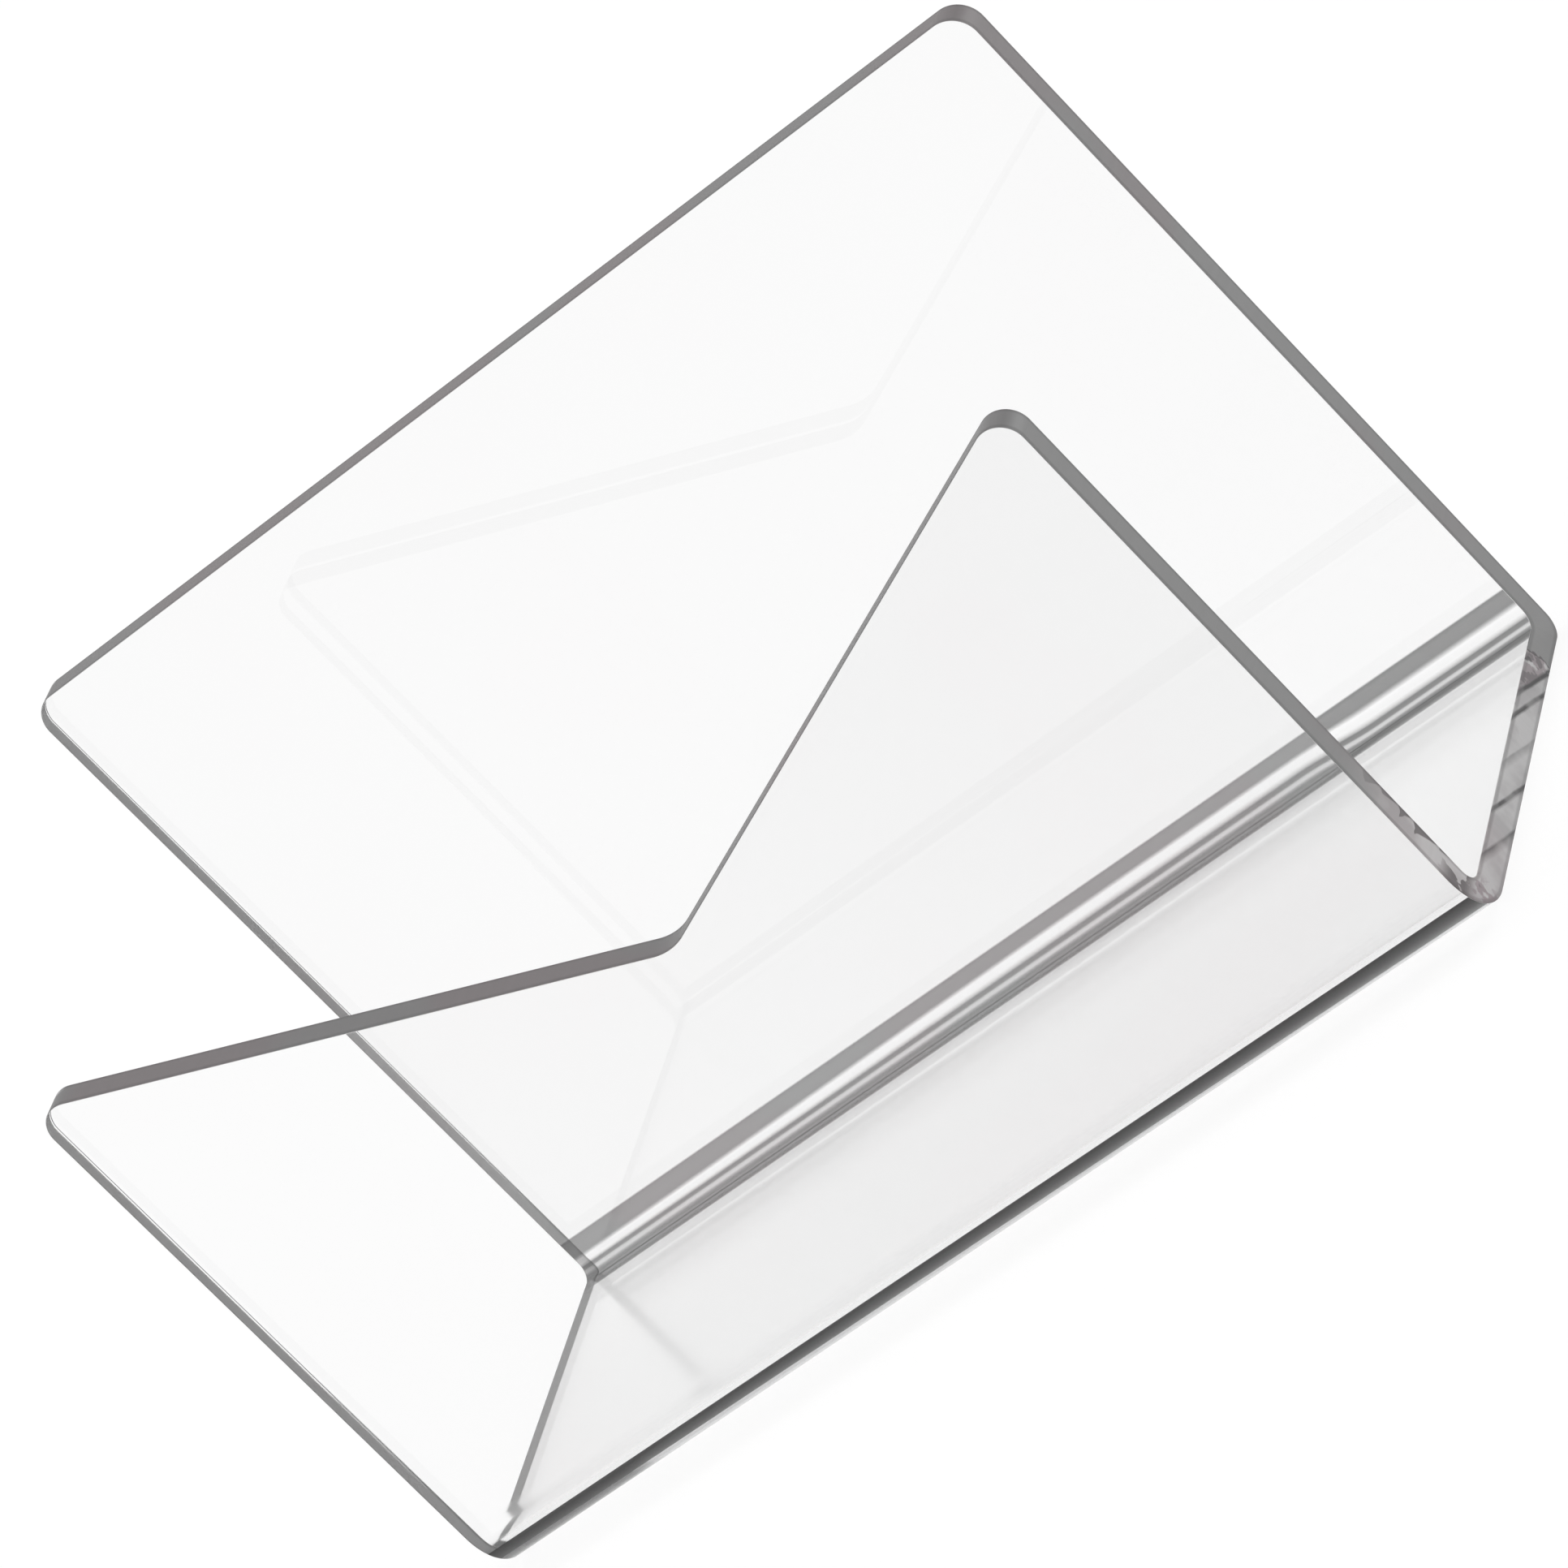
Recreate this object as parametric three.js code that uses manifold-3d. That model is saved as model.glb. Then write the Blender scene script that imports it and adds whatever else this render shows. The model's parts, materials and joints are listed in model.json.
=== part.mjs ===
// Clear mail organizer made from one sheet of acrylic, bent twice while hot: a tall back panel, a flat
// base to stand on, and a lower front panel whose top edge is cut to a wide V, like an open envelope.
// Millimetres. +Z is up, -Y is the front, and the origin is under the middle of the base.
import * as THREE from "three";
import { mergeVertices } from "three/addons/utils/BufferGeometryUtils.js";
import Module from "manifold-3d";

// Driving dimensions
const SHEET_WIDTH = 190;
const SHEET_THICKNESS = 5;
const OVERALL_DEPTH = 81;
const BACK_HEIGHT = 128.5;
const FRONT_HEIGHT = 102;
const NOTCH_DEPTH = 36.5;
const BACK_BEND_INNER_RADIUS = 2.5;
const BACK_BEND_OUTER_RADIUS = 3;
const FRONT_BEND_INNER_RADIUS = 2.75;
const FRONT_BEND_OUTER_RADIUS = 10;
const BACK_CORNER_RADIUS = 4.5;
const FRONT_CORNER_RADIUS = 4;
const NOTCH_BOTTOM_RADIUS = 8;

// How fine the rounded stretches are, and how far a cutting outline runs past the sheet
const SEGMENTS_PER_ARC = 16;
const CUT_MARGIN = 2;

const ACRYLIC = {
  color: 0xf2f5f5,
  roughness: 0.04,
  metalness: 0,
  transparent: true,
  opacity: 0.3,
};

// Worked-out sizes
const HALF_WIDTH = SHEET_WIDTH / 2;
const HALF_DEPTH = OVERALL_DEPTH / 2;
const INNER_HALF_DEPTH = HALF_DEPTH - SHEET_THICKNESS;
const NOTCH_FLOOR = FRONT_HEIGHT - NOTCH_DEPTH;

const X_AXIS = new THREE.Vector3(1, 0, 0);
const Y_AXIS = new THREE.Vector3(0, 1, 0);
const Z_AXIS = new THREE.Vector3(0, 0, 1);

const wasm = await Module();
wasm.setup();

// A closed outline through its corners in order, each rounded by its own radius (0 leaves it sharp).
function roundedOutline(corners) {
  const outline = new THREE.Shape();
  corners.forEach(([u, v, radius], index) => {
    const corner = new THREE.Vector2(u, v);
    const before = new THREE.Vector2(...corners.at(index - 1));
    const after = new THREE.Vector2(...corners[(index + 1) % corners.length]);
    const toBefore = before.sub(corner).normalize();
    const toAfter = after.sub(corner).normalize();
    const halfAngle = Math.acos(toBefore.dot(toAfter)) / 2;
    const start = toBefore.clone().multiplyScalar(radius / Math.tan(halfAngle)).add(corner);
    const draw = index === 0 ? "moveTo" : "lineTo";
    outline[draw](start.x, start.y);
    if (radius === 0) return;
    const centre = toBefore.clone().add(toAfter).normalize();
    centre.multiplyScalar(radius / Math.sin(halfAngle)).add(corner);
    const end = toAfter.clone().multiplyScalar(radius / Math.tan(halfAngle)).add(corner);
    const startAngle = start.sub(centre).angle();
    const endAngle = end.sub(centre).angle();
    const clockwise = toBefore.cross(toAfter) > 0;
    outline.absarc(centre.x, centre.y, radius, startAngle, endAngle, clockwise);
  });
  return outline;
}

// An outline swept along its normal. The basis gives the world directions of the outline's two axes
// and of the sweep, which starts at the given place along that last direction.
function sweep(outline, start, length, basis) {
  const geometry = new THREE.ExtrudeGeometry(outline, {
    depth: length,
    bevelEnabled: false,
    curveSegments: SEGMENTS_PER_ARC,
  });
  geometry.translate(0, 0, start);
  return geometry.applyMatrix4(new THREE.Matrix4().makeBasis(...basis));
}

function toSolid(geometry) {
  geometry.deleteAttribute("normal");
  geometry.deleteAttribute("uv");
  const merged = mergeVertices(geometry);
  return new wasm.Manifold(
    new wasm.Mesh({
      numProp: 3,
      vertProperties: merged.attributes.position.array,
      triVerts: new Uint32Array(merged.index.array),
    }),
  );
}

function toGeometry(solid) {
  const { vertProperties, triVerts } = solid.getMesh();
  const geometry = new THREE.BufferGeometry();
  geometry.setAttribute("position", new THREE.BufferAttribute(vertProperties, 3));
  geometry.setIndex(new THREE.BufferAttribute(triVerts, 1));
  geometry.computeVertexNormals();
  return geometry;
}

// The bent sheet with its edges still oversize: the side view of both bends, swept across the width.
function bentBlank() {
  const sideView = roundedOutline([
    [HALF_DEPTH, 0, BACK_BEND_OUTER_RADIUS],
    [HALF_DEPTH, BACK_HEIGHT + CUT_MARGIN, 0],
    [INNER_HALF_DEPTH, BACK_HEIGHT + CUT_MARGIN, 0],
    [INNER_HALF_DEPTH, SHEET_THICKNESS, BACK_BEND_INNER_RADIUS],
    [-INNER_HALF_DEPTH, SHEET_THICKNESS, FRONT_BEND_INNER_RADIUS],
    [-INNER_HALF_DEPTH, FRONT_HEIGHT + CUT_MARGIN, 0],
    [-HALF_DEPTH, FRONT_HEIGHT + CUT_MARGIN, 0],
    [-HALF_DEPTH, 0, FRONT_BEND_OUTER_RADIUS],
  ]);
  const start = -HALF_WIDTH - CUT_MARGIN;
  return toSolid(sweep(sideView, start, -2 * start, [Y_AXIS, Z_AXIS, X_AXIS]));
}

// What the finished edges leave of one half of the blank, as a block with the panel's outline in front
// view. It runs past the underside and the panel's outer face, and a little past the middle of the base.
function cutter(topEdge, isFront) {
  const outline = roundedOutline([
    [HALF_WIDTH, -CUT_MARGIN, 0],
    ...topEdge,
    [-HALF_WIDTH, -CUT_MARGIN, 0],
  ]);
  const start = isFront ? -CUT_MARGIN : -HALF_DEPTH - CUT_MARGIN;
  const length = HALF_DEPTH + 2 * CUT_MARGIN;
  return toSolid(sweep(outline, start, length, [X_AXIS, Z_AXIS, Y_AXIS.clone().negate()]));
}

const BACK_TOP_EDGE = [
  [HALF_WIDTH, BACK_HEIGHT, BACK_CORNER_RADIUS],
  [-HALF_WIDTH, BACK_HEIGHT, BACK_CORNER_RADIUS],
];

const FRONT_TOP_EDGE = [
  [HALF_WIDTH, FRONT_HEIGHT, FRONT_CORNER_RADIUS],
  [0, NOTCH_FLOOR, NOTCH_BOTTOM_RADIUS],
  [-HALF_WIDTH, FRONT_HEIGHT, FRONT_CORNER_RADIUS],
];

const finishedEdges = cutter(BACK_TOP_EDGE, false).add(cutter(FRONT_TOP_EDGE, true));
const bentSheet = new THREE.Mesh(
  toGeometry(bentBlank().intersect(finishedEdges)),
  new THREE.MeshStandardMaterial(ACRYLIC),
);
bentSheet.name = "bent_sheet";

const mailOrganizer = new THREE.Group();
mailOrganizer.add(bentSheet);

export default mailOrganizer;
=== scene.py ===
"""A clear mail organizer of bent acrylic sheet, standing on a pale studio floor.

The sheet's solid gives the outer sizes and the place. This script makes the same sheet the way its
maker does: a flat blank is cut to outline, its cut edges are eased and polished, and the blank is
bent twice, into a back panel, a base and a V-cut front panel. Lengths are in metres, +Z is up and
-Y is the front.
"""

import json
import logging
import math
from dataclasses import dataclass
from enum import Enum
from typing import Iterator, NamedTuple

import bpy
from mathutils import Matrix, Vector

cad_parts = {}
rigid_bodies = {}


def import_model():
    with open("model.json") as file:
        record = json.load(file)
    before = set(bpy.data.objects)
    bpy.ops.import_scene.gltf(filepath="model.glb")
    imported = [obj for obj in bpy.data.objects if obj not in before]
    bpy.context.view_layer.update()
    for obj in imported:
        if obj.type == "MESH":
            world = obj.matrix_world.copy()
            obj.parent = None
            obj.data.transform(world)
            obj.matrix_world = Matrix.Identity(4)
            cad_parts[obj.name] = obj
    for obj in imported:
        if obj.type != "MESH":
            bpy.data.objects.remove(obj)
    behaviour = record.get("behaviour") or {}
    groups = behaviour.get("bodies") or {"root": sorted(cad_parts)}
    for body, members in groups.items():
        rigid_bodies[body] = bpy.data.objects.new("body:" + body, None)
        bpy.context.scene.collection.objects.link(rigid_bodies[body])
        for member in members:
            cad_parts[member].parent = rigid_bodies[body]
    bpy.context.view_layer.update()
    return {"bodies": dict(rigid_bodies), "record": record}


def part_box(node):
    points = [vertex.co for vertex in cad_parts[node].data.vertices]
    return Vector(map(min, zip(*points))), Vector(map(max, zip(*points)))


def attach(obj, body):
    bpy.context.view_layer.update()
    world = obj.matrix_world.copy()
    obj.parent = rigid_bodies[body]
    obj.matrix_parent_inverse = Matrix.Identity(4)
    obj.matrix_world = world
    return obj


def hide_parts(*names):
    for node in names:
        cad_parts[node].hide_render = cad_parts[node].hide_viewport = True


Colour = tuple[float, float, float, float]
Span = tuple[float, float]
Run = tuple[float, float, float, float]
Socket = bpy.types.NodeSocket

LOG = logging.getLogger("mail_organizer")
QUARTER_TURN = math.pi / 2
MM = 0.001
FAR_AWAY = 1.0
NOISE_MIDDLE = 0.5
WHITE: Colour = (1.0, 1.0, 1.0, 1.0)
BLACK: Colour = (0.0, 0.0, 0.0, 1.0)

# The sockets of a colour blend, by their places on the node
FIRST_COLOUR = 6
SECOND_COLOUR = 7
BLENDED_COLOUR = 2


class RayKind(Enum):
    """The kinds of ray that see the studio as plain white."""

    CAMERA = "Is Camera Ray"
    GLOSSY = "Is Glossy Ray"
    TRANSMISSION = "Is Transmission Ray"


class MeshTag(Enum):
    """Values that the sheet's mesh carries for its finish."""

    CUT_EDGE = "cut_edge"
    EDGE_RUN = "edge_run"
    THROUGH = "through_sheet"
    PAST_BACK_BEND = "past_back_bend"
    PAST_FRONT_PANEL = "past_front_panel"


class Corner(NamedTuple):
    """A corner of the flat blank, before it is rounded."""

    across: float
    run: float
    radius: float


class OutlinePoint(NamedTuple):
    """A point of the blank's outline, and the direction that leads out of the sheet there."""

    across: float
    run: float
    out_across: float
    out_run: float


class FacePoint(NamedTuple):
    """A place on one face of the bent sheet, with the way to it along that face."""

    place: Vector
    run: float
    along: Vector
    outward: Vector


class Station(NamedTuple):
    """Where one run of the blank ends up once bent, on the outer face and on the inner one."""

    outer: FacePoint
    inner: FacePoint


class EdgeRing(NamedTuple):
    """One ring of the cut edge: its face, how far it is set in and sunk, and how it leans."""

    is_inner: bool
    inset: float
    sunk: float
    outward: float
    sideways: float


class Stripe(NamedTuple):
    """One edge of a stripe: its place, and the share of light or of darkness there."""

    run: float
    share: float


def stripe_edges(*edges: Span) -> tuple[Stripe, ...]:
    """Lists stripes' edges, each given by its place in millimetres and its share."""
    return tuple(Stripe(run * MM, share) for run, share in edges)


@dataclass
class NodeGraph:
    """A short way to build a node tree."""

    tree: bpy.types.NodeTree

    def add(self, kind: str, **settings: object) -> bpy.types.Node:
        """Adds a node.

        Args:
            kind: the name of the node's class.
            settings: the node's own properties.

        Returns:
            The new node.
        """
        node = self.tree.nodes.new(kind)
        for name, value in settings.items():
            setattr(node, name, value)
        return node

    def feed(self, target: Socket, source: object) -> None:
        """Sets an input socket, from another node's socket or to a constant.

        Args:
            target: the input socket.
            source: an output socket, a number or a colour.
        """
        if isinstance(source, Socket):
            self.tree.links.new(source, target)
        else:
            target.default_value = source

    def math(self, operation: str, *values: object) -> Socket:
        """Adds a sum, product or other step on numbers.

        Args:
            operation: the name of the step.
            values: sockets or numbers, in order.

        Returns:
            The result's socket.
        """
        node = self.add("ShaderNodeMath", operation=operation)
        for socket, value in zip(node.inputs, values):
            self.feed(socket, value)
        return node.outputs[0]

    def times(self, first: Socket, *others: object) -> Socket:
        """Multiplies a number by one or more others."""
        for other in others:
            first = self.math("MULTIPLY", first, other)
        return first

    def less(self, share: Socket) -> Socket:
        """Turns a share round: 1 becomes 0 and 0 becomes 1."""
        return self.math("SUBTRACT", 1.0, share)

    def noise(self, scale: float, detail: float = 3.0, place: object = None) -> Socket:
        """Adds a noise pattern.

        Args:
            scale: waves in a metre.
            detail: how many finer layers it has.
            place: where to read it, or None for a pattern in the object's own space.

        Returns:
            The pattern's value, around one half.
        """
        node = self.add("ShaderNodeTexNoise")
        if place is None:
            place = self.add("ShaderNodeTexCoord").outputs["Object"]
        self.feed(node.inputs["Vector"], place)
        node.inputs["Scale"].default_value = scale
        node.inputs["Detail"].default_value = detail
        return node.outputs[0]

    def tag(self, tag: MeshTag) -> Socket:
        """Reads one of the values that the mesh carries."""
        return self.add("ShaderNodeAttribute", attribute_name=tag.value).outputs["Fac"]

    def blend(self, kind: str, share: object, first: object, second: object) -> Socket:
        """Blends two colours.

        Args:
            kind: the name of the way to blend.
            share: how much the second colour counts.
            first: the colour, or its socket, that is there without the second.
            second: the colour, or its socket, that is blended in.

        Returns:
            The blended colour.
        """
        node = self.add("ShaderNodeMix", data_type="RGBA", blend_type=kind)
        self.feed(node.inputs[0], share)
        self.feed(node.inputs[FIRST_COLOUR], first)
        self.feed(node.inputs[SECOND_COLOUR], second)
        return node.outputs[BLENDED_COLOUR]

    def waver(self, scale: float) -> Socket:
        """Adds a noise pattern around zero."""
        return self.math("SUBTRACT", self.noise(scale), NOISE_MIDDLE)

    def rise(self, value: object, low: float, high: float) -> Socket:
        """Makes a smooth step.

        Args:
            value: what is measured.
            low: where the step is still 0.
            high: where it has become 1.

        Returns:
            The step, from 0 to 1.
        """
        node = self.add("ShaderNodeMapRange", interpolation_type="SMOOTHSTEP")
        for socket, entry in zip(node.inputs, (value, low, high, 0.0, 1.0)):
            self.feed(socket, entry)
        return node.outputs[0]

    def hump(self, value: object, run: Run) -> Socket:
        """Makes a smooth hump.

        Args:
            value: what is measured.
            run: where the hump begins, is full, begins to fall and has ended.

        Returns:
            The hump, from 0 to 1.
        """
        begin, full, fading, end = run
        return self.math("SUBTRACT", self.rise(value, begin, full), self.rise(value, fading, end))

    def place(self) -> tuple[Socket, ...]:
        """Reads the place in the object's own space: across, depth and height."""
        node = self.add("ShaderNodeSeparateXYZ")
        self.feed(node.inputs[0], self.add("ShaderNodeTexCoord").outputs["Object"])
        return tuple(node.outputs)

    def stripes(self, run: Socket, edges: tuple[Stripe, ...], power: float = 1.0) -> Socket:
        """Lays stripes side by side.

        Args:
            run: the way across them.
            edges: the stripes' edges, in rising order.
            power: what each share is raised to.

        Returns:
            The stripes as a grey colour.
        """
        start, length = edges[0].run, edges[-1].run - edges[0].run
        node = self.add("ShaderNodeValToRGB")
        self.feed(node.inputs[0], self.math("DIVIDE", self.math("SUBTRACT", run, start), length))
        places = node.color_ramp.elements
        for edge in edges[1:-1]:
            places.new((edge.run - start) / length)
        for place, edge in zip(places, edges):
            share = edge.share**power
            place.color = (share, share, share, 1.0)
        return node.outputs[0]


@dataclass(frozen=True)
class CutEdge:
    """The machine-polished cut edge: plain grey of painted shade, but lighter with painted light and
    streaky round the base's right end.
    """

    # The greys below are painted shade, and the bright and dull tones are painted light.
    side_painted_shade: Colour = (0.385, 0.385, 0.385, 1.0)
    far_side_painted_shade: Colour = (0.7, 0.7, 0.7, 1.0)
    far_base_painted_shade: Colour = (0.14, 0.14, 0.14, 1.0)
    far_bend_painted_light: Colour = (0.9, 0.87, 0.88, 1.0)
    top_painted_shade: Colour = (0.178, 0.174, 0.175, 1.0)
    painted_light_bright: Colour = (0.86, 0.85, 0.85, 1.0)
    painted_light_dull: Colour = (0.68, 0.665, 0.67, 1.0)
    mauve: Colour = (0.5, 0.445, 0.465, 1.0)
    dark: Colour = (0.06, 0.057, 0.059, 1.0)
    light_through: float = 0.12
    upright_facing: Span = (0.3, 0.8)
    left_half: Span = (0.0, -10.0 * MM)
    right_half: Span = (0.0, 10.0 * MM)
    left_end: Span = (-90.0 * MM, -94.0 * MM)
    front_half: Span = (0.0, -1.0 * MM)
    back_half: Span = (0.0, 1.0 * MM)
    clear_front_rim: Span = (0.74, 0.86)
    clear_back_rim: Span = (0.2, 0.1)
    clear_rim_fades: Span = (10.0 * MM, 50.0 * MM)
    far_bend_fades: Span = (8.0 * MM, 12.0 * MM)
    far_bend_starts: Span = (33.0 * MM, 35.0 * MM)
    far_bend_clearness: float = 0.25
    roughness: float = 0.5
    base_fades: Span = (4.0 * MM, 7.0 * MM)
    painted_light_fades: Span = (15.0 * MM, 33.0 * MM)
    painted_light_ends: Span = (28.0 * MM, 28.7 * MM)
    shade_line_starts: Span = (26.9 * MM, 27.6 * MM)
    jag: float = 13.0 * MM
    jags_per_metre: float = 380.0
    clouds_per_metre: float = 130.0
    cloud_levels: Span = (0.38, 0.6)
    streak_lean_deg: float = 21.5
    streak_wobble: float = 0.5 * MM
    wobbles_per_metre: float = 160.0
    breaks_per_metre: float = 170.0
    break_levels: Span = (0.35, 0.55)
    break_share: float = 0.35
    streaks: tuple[Stripe, ...] = stripe_edges(
        (-8.2, 0.0), (-6.9, 0.0), (-6.2, 0.35), (-5.6, 0.8), (-5.2, 0.0),
        (-1.9, 0.0), (-1.6, 0.5), (-1.4, 1.0), (-1.05, 1.0), (-0.75, 0.0),
        (2.2, 0.0), (2.9, 0.3), (3.4, 0.5), (3.7, 0.0), (7.4, 0.0),
        (7.8, 1.0), (8.15, 0.9), (8.45, 0.0), (9.7, 0.1), (10.05, 1.0),
        (10.4, 1.0), (10.9, 0.0),
    )
    patch_starts: Span = (10.1 * MM, 10.5 * MM)
    corner_ends: Span = (-35.0 * MM, -31.0 * MM)
    teeth: tuple[Stripe, ...] = stripe_edges(
        (8.0, 0.0), (12.3, 0.16), (12.8, 0.04), (16.4, 0.42), (17.1, 0.6),
        (17.4, 0.05), (19.4, 0.25), (20.6, 0.55), (20.9, 0.08), (24.2, 0.3),
        (24.6, 0.1), (27.4, 0.55), (27.9, 0.15), (31.0, 0.0),
    )
    mottles_per_metre: float = 300.0
    mauve_levels: Span = (0.53, 0.58)
    fleck_levels: Span = (0.41, 0.46)
    fleck_share: float = 0.55
    swirl_levels: Span = (0.5, 0.54)
    swirl_fades: Span = (9.0 * MM, 13.0 * MM)
    tooth_share: float = 0.8
    tooth_wobble: float = 3.0 * MM
    tooth_softness: float = 0.4 * MM
    rim: float = 0.45 * MM
    rim_painted_shade_share: float = 0.28
    thickness: float = 5.0 * MM
    polish_lines_per_metre: float = 900.0
    polish_line_depth: float = 0.004 * MM
    polish_line_share: float = 0.12

    def colour(self, graph: NodeGraph) -> Socket:
        """Makes the edge's colour.

        Args:
            graph: the material's nodes.

        Returns:
            The colour, lighter with painted light and streaked where the end of the base and its bend
            let light out.
        """
        facing = graph.add("ShaderNodeSeparateXYZ")
        graph.feed(facing.inputs[0], graph.add("ShaderNodeNewGeometry").outputs["Normal"])
        upright = graph.rise(graph.math("ABSOLUTE", facing.outputs[2]), *self.upright_facing)
        across, depth, height = graph.place()
        low = graph.less(graph.rise(height, *self.base_fades))
        on_left = graph.rise(across, *self.left_half)
        # The edge's grey is painted shade, standing for the dim surroundings that a clear edge shows.
        sides = graph.blend("MIX", on_left, self.side_painted_shade, self._far_side(graph, low, depth, height))
        # Edges that face up get a darker copy of the grey, painted shade that makes up for the fuller
        # light they catch.
        plain = graph.blend("MIX", upright, sides, self.top_painted_shade)
        # Painted light: the right end's edges are lighter low down, in clouds, where the base and its
        # bends let light out.
        reach = graph.math("MULTIPLY_ADD", graph.waver(self.jags_per_metre), self.jag, depth)
        ahead = graph.less(graph.rise(reach, *self.painted_light_ends))
        fading = graph.less(graph.rise(height, *self.painted_light_fades))
        share = graph.times(fading, ahead, graph.rise(across, *self.right_half))
        cloud = graph.rise(graph.noise(self.clouds_per_metre), *self.cloud_levels)
        painted_glow = graph.blend("MIX", cloud, self.painted_light_dull, self.painted_light_bright)
        with_painted_light = graph.blend("MIX", share, plain, self._marked(graph, painted_glow, low, depth, height))
        # A dark line of painted shade closes the painted light at the back.
        outline = graph.times(graph.rise(reach, *self.shade_line_starts), share, self.tooth_share)
        return self._lined(graph, graph.blend("MIX", outline, with_painted_light, self.dark))

    def _far_side(self, graph: NodeGraph, low: Socket, depth: Socket, height: Socket) -> Socket:
        """Makes the colour of the left end, which is only seen through the sheet, as painted light and
        shade.

        Args:
            graph: the material's nodes.
            low: 1 on the end of the base and 0 above it.
            depth: the place from front to back.
            height: the place above the floor.

        Returns:
            The colour.
        """
        # Painted shade on the far end and darker on its base, painted light at the back bend.
        far = graph.blend("MIX", low, self.far_side_painted_shade, self.far_base_painted_shade)
        return graph.blend("MIX", self._far_bend(graph, depth, height), far, self.far_bend_painted_light)

    def _far_bend(self, graph: NodeGraph, depth: Socket, height: Socket) -> Socket:
        """Tells the end of the back bend, 1, from the rest of the edge, 0."""
        below = graph.less(graph.rise(height, *self.far_bend_fades))
        return graph.times(graph.rise(depth, *self.far_bend_starts), below)

    def grey_share(self, graph: NodeGraph) -> Socket:
        """Finds how far the edge is grey with painted shade: less on the left end's far rims and at its
        back bend.

        Args:
            graph: the material's nodes.

        Returns:
            1 where the edge is grey with painted shade, and 0 on the faces and wherever the edge is
            clear.
        """
        across, depth, height = graph.place()
        through = graph.math("DIVIDE", graph.tag(MeshTag.THROUGH), self.thickness)
        front_rim = graph.rise(through, *self.clear_front_rim)
        back_rim = graph.rise(through, *self.clear_back_rim)
        at_front = graph.times(front_rim, graph.rise(depth, *self.front_half))
        at_back = graph.times(back_rim, graph.rise(depth, *self.back_half))
        rim = graph.math("ADD", at_front, at_back)
        above = graph.times(rim, graph.rise(height, *self.clear_rim_fades))
        bend = graph.times(self._far_bend(graph, depth, height), self.far_bend_clearness)
        clear = graph.math("MAXIMUM", above, bend)
        on_left = graph.rise(across, *self.left_end)
        return graph.times(graph.tag(MeshTag.CUT_EDGE), graph.less(graph.times(clear, on_left)))

    def _marked(
        self, graph: NodeGraph, painted_glow: Socket, low: Socket, depth: Socket, height: Socket
    ) -> Socket:
        """Lays the slanting streaks of saw marks darkened with painted shade, the flecked mauve patch
        and the dark teeth of painted shade over the painted light.

        Args:
            graph: the material's nodes.
            painted_glow: the light part's colour.
            low: 1 on the end of the base and 0 above it.
            depth: the place from front to back.
            height: the place above the floor.

        Returns:
            The marked colour.
        """
        lean = math.radians(self.streak_lean_deg)
        slant = graph.times(height, math.cos(lean))
        slant = graph.math("MULTIPLY_ADD", depth, math.sin(lean), slant)
        wobble = graph.waver(self.wobbles_per_metre)
        slant = graph.math("MULTIPLY_ADD", wobble, self.streak_wobble, slant)
        patch = graph.rise(slant, *self.patch_starts)
        corner = graph.less(graph.rise(depth, *self.corner_ends))
        grain = graph.noise(self.mottles_per_metre)
        zone = graph.times(graph.math("MAXIMUM", patch, corner), low)
        mauve = graph.times(zone, graph.less(graph.rise(grain, *self.mauve_levels)))
        flecks = graph.times(zone, graph.less(graph.rise(grain, *self.fleck_levels)))
        shaded = graph.blend("MIX", mauve, painted_glow, self.mauve)
        breaks = graph.rise(graph.noise(self.breaks_per_metre, detail=2.0), *self.break_levels)
        broken = graph.math("MULTIPLY_ADD", breaks, self.break_share, 1.0 - self.break_share)
        # The slanting streaks follow the saw marks and are drawn dark as painted shade, broken up here
        # and there.
        streak = graph.times(graph.stripes(slant, self.streaks), broken, low)
        streak = graph.math("MAXIMUM", streak, graph.times(flecks, self.fleck_share))
        # Painted shade: dark teeth and swirls on the edges above the base.
        bumpy = graph.math("MULTIPLY_ADD", wobble, self.tooth_wobble, height)
        tooth = graph.stripes(bumpy, self.teeth)
        reach = graph.math("MULTIPLY_ADD", tooth, self.thickness, graph.tag(MeshTag.THROUGH))
        teeth = graph.rise(reach, self.thickness, self.thickness + self.tooth_softness)
        near = graph.less(graph.rise(height, *self.swirl_fades))
        swirl = graph.times(graph.rise(grain, *self.swirl_levels), near)
        teeth = graph.math("MAXIMUM", teeth, swirl)
        teeth = graph.times(teeth, self.tooth_share, graph.less(low))
        return graph.blend("MIX", graph.math("MAXIMUM", streak, teeth), shaded, self.dark)

    def _lined(self, graph: NodeGraph, colour: Socket) -> Socket:
        """Darkens the edge's two rims a little with painted shade, and the fine lines across it, which
        are polish marks.

        Args:
            graph: the material's nodes.
            colour: the colour without them.

        Returns:
            The lined colour.
        """
        through = graph.tag(MeshTag.THROUGH)
        outer = graph.less(graph.rise(through, self.rim, 2 * self.rim))
        inner = graph.rise(through, self.thickness - 2 * self.rim, self.thickness - self.rim)
        # Painted shade along both arrises.
        rims = graph.times(graph.math("MAXIMUM", outer, inner), self.rim_painted_shade_share)
        lines = graph.times(self.polish_lines(graph), self.polish_line_share)
        return graph.blend("MIX", graph.math("ADD", rims, lines), colour, self.dark)

    def polish_lines(self, graph: NodeGraph) -> Socket:
        """Makes the pattern of fine lines that cutting and polishing leave across the thickness."""
        run = graph.add("ShaderNodeCombineXYZ")
        graph.feed(run.inputs[0], graph.tag(MeshTag.EDGE_RUN))
        return graph.noise(self.polish_lines_per_metre, detail=2.0, place=run.outputs[0])


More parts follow.
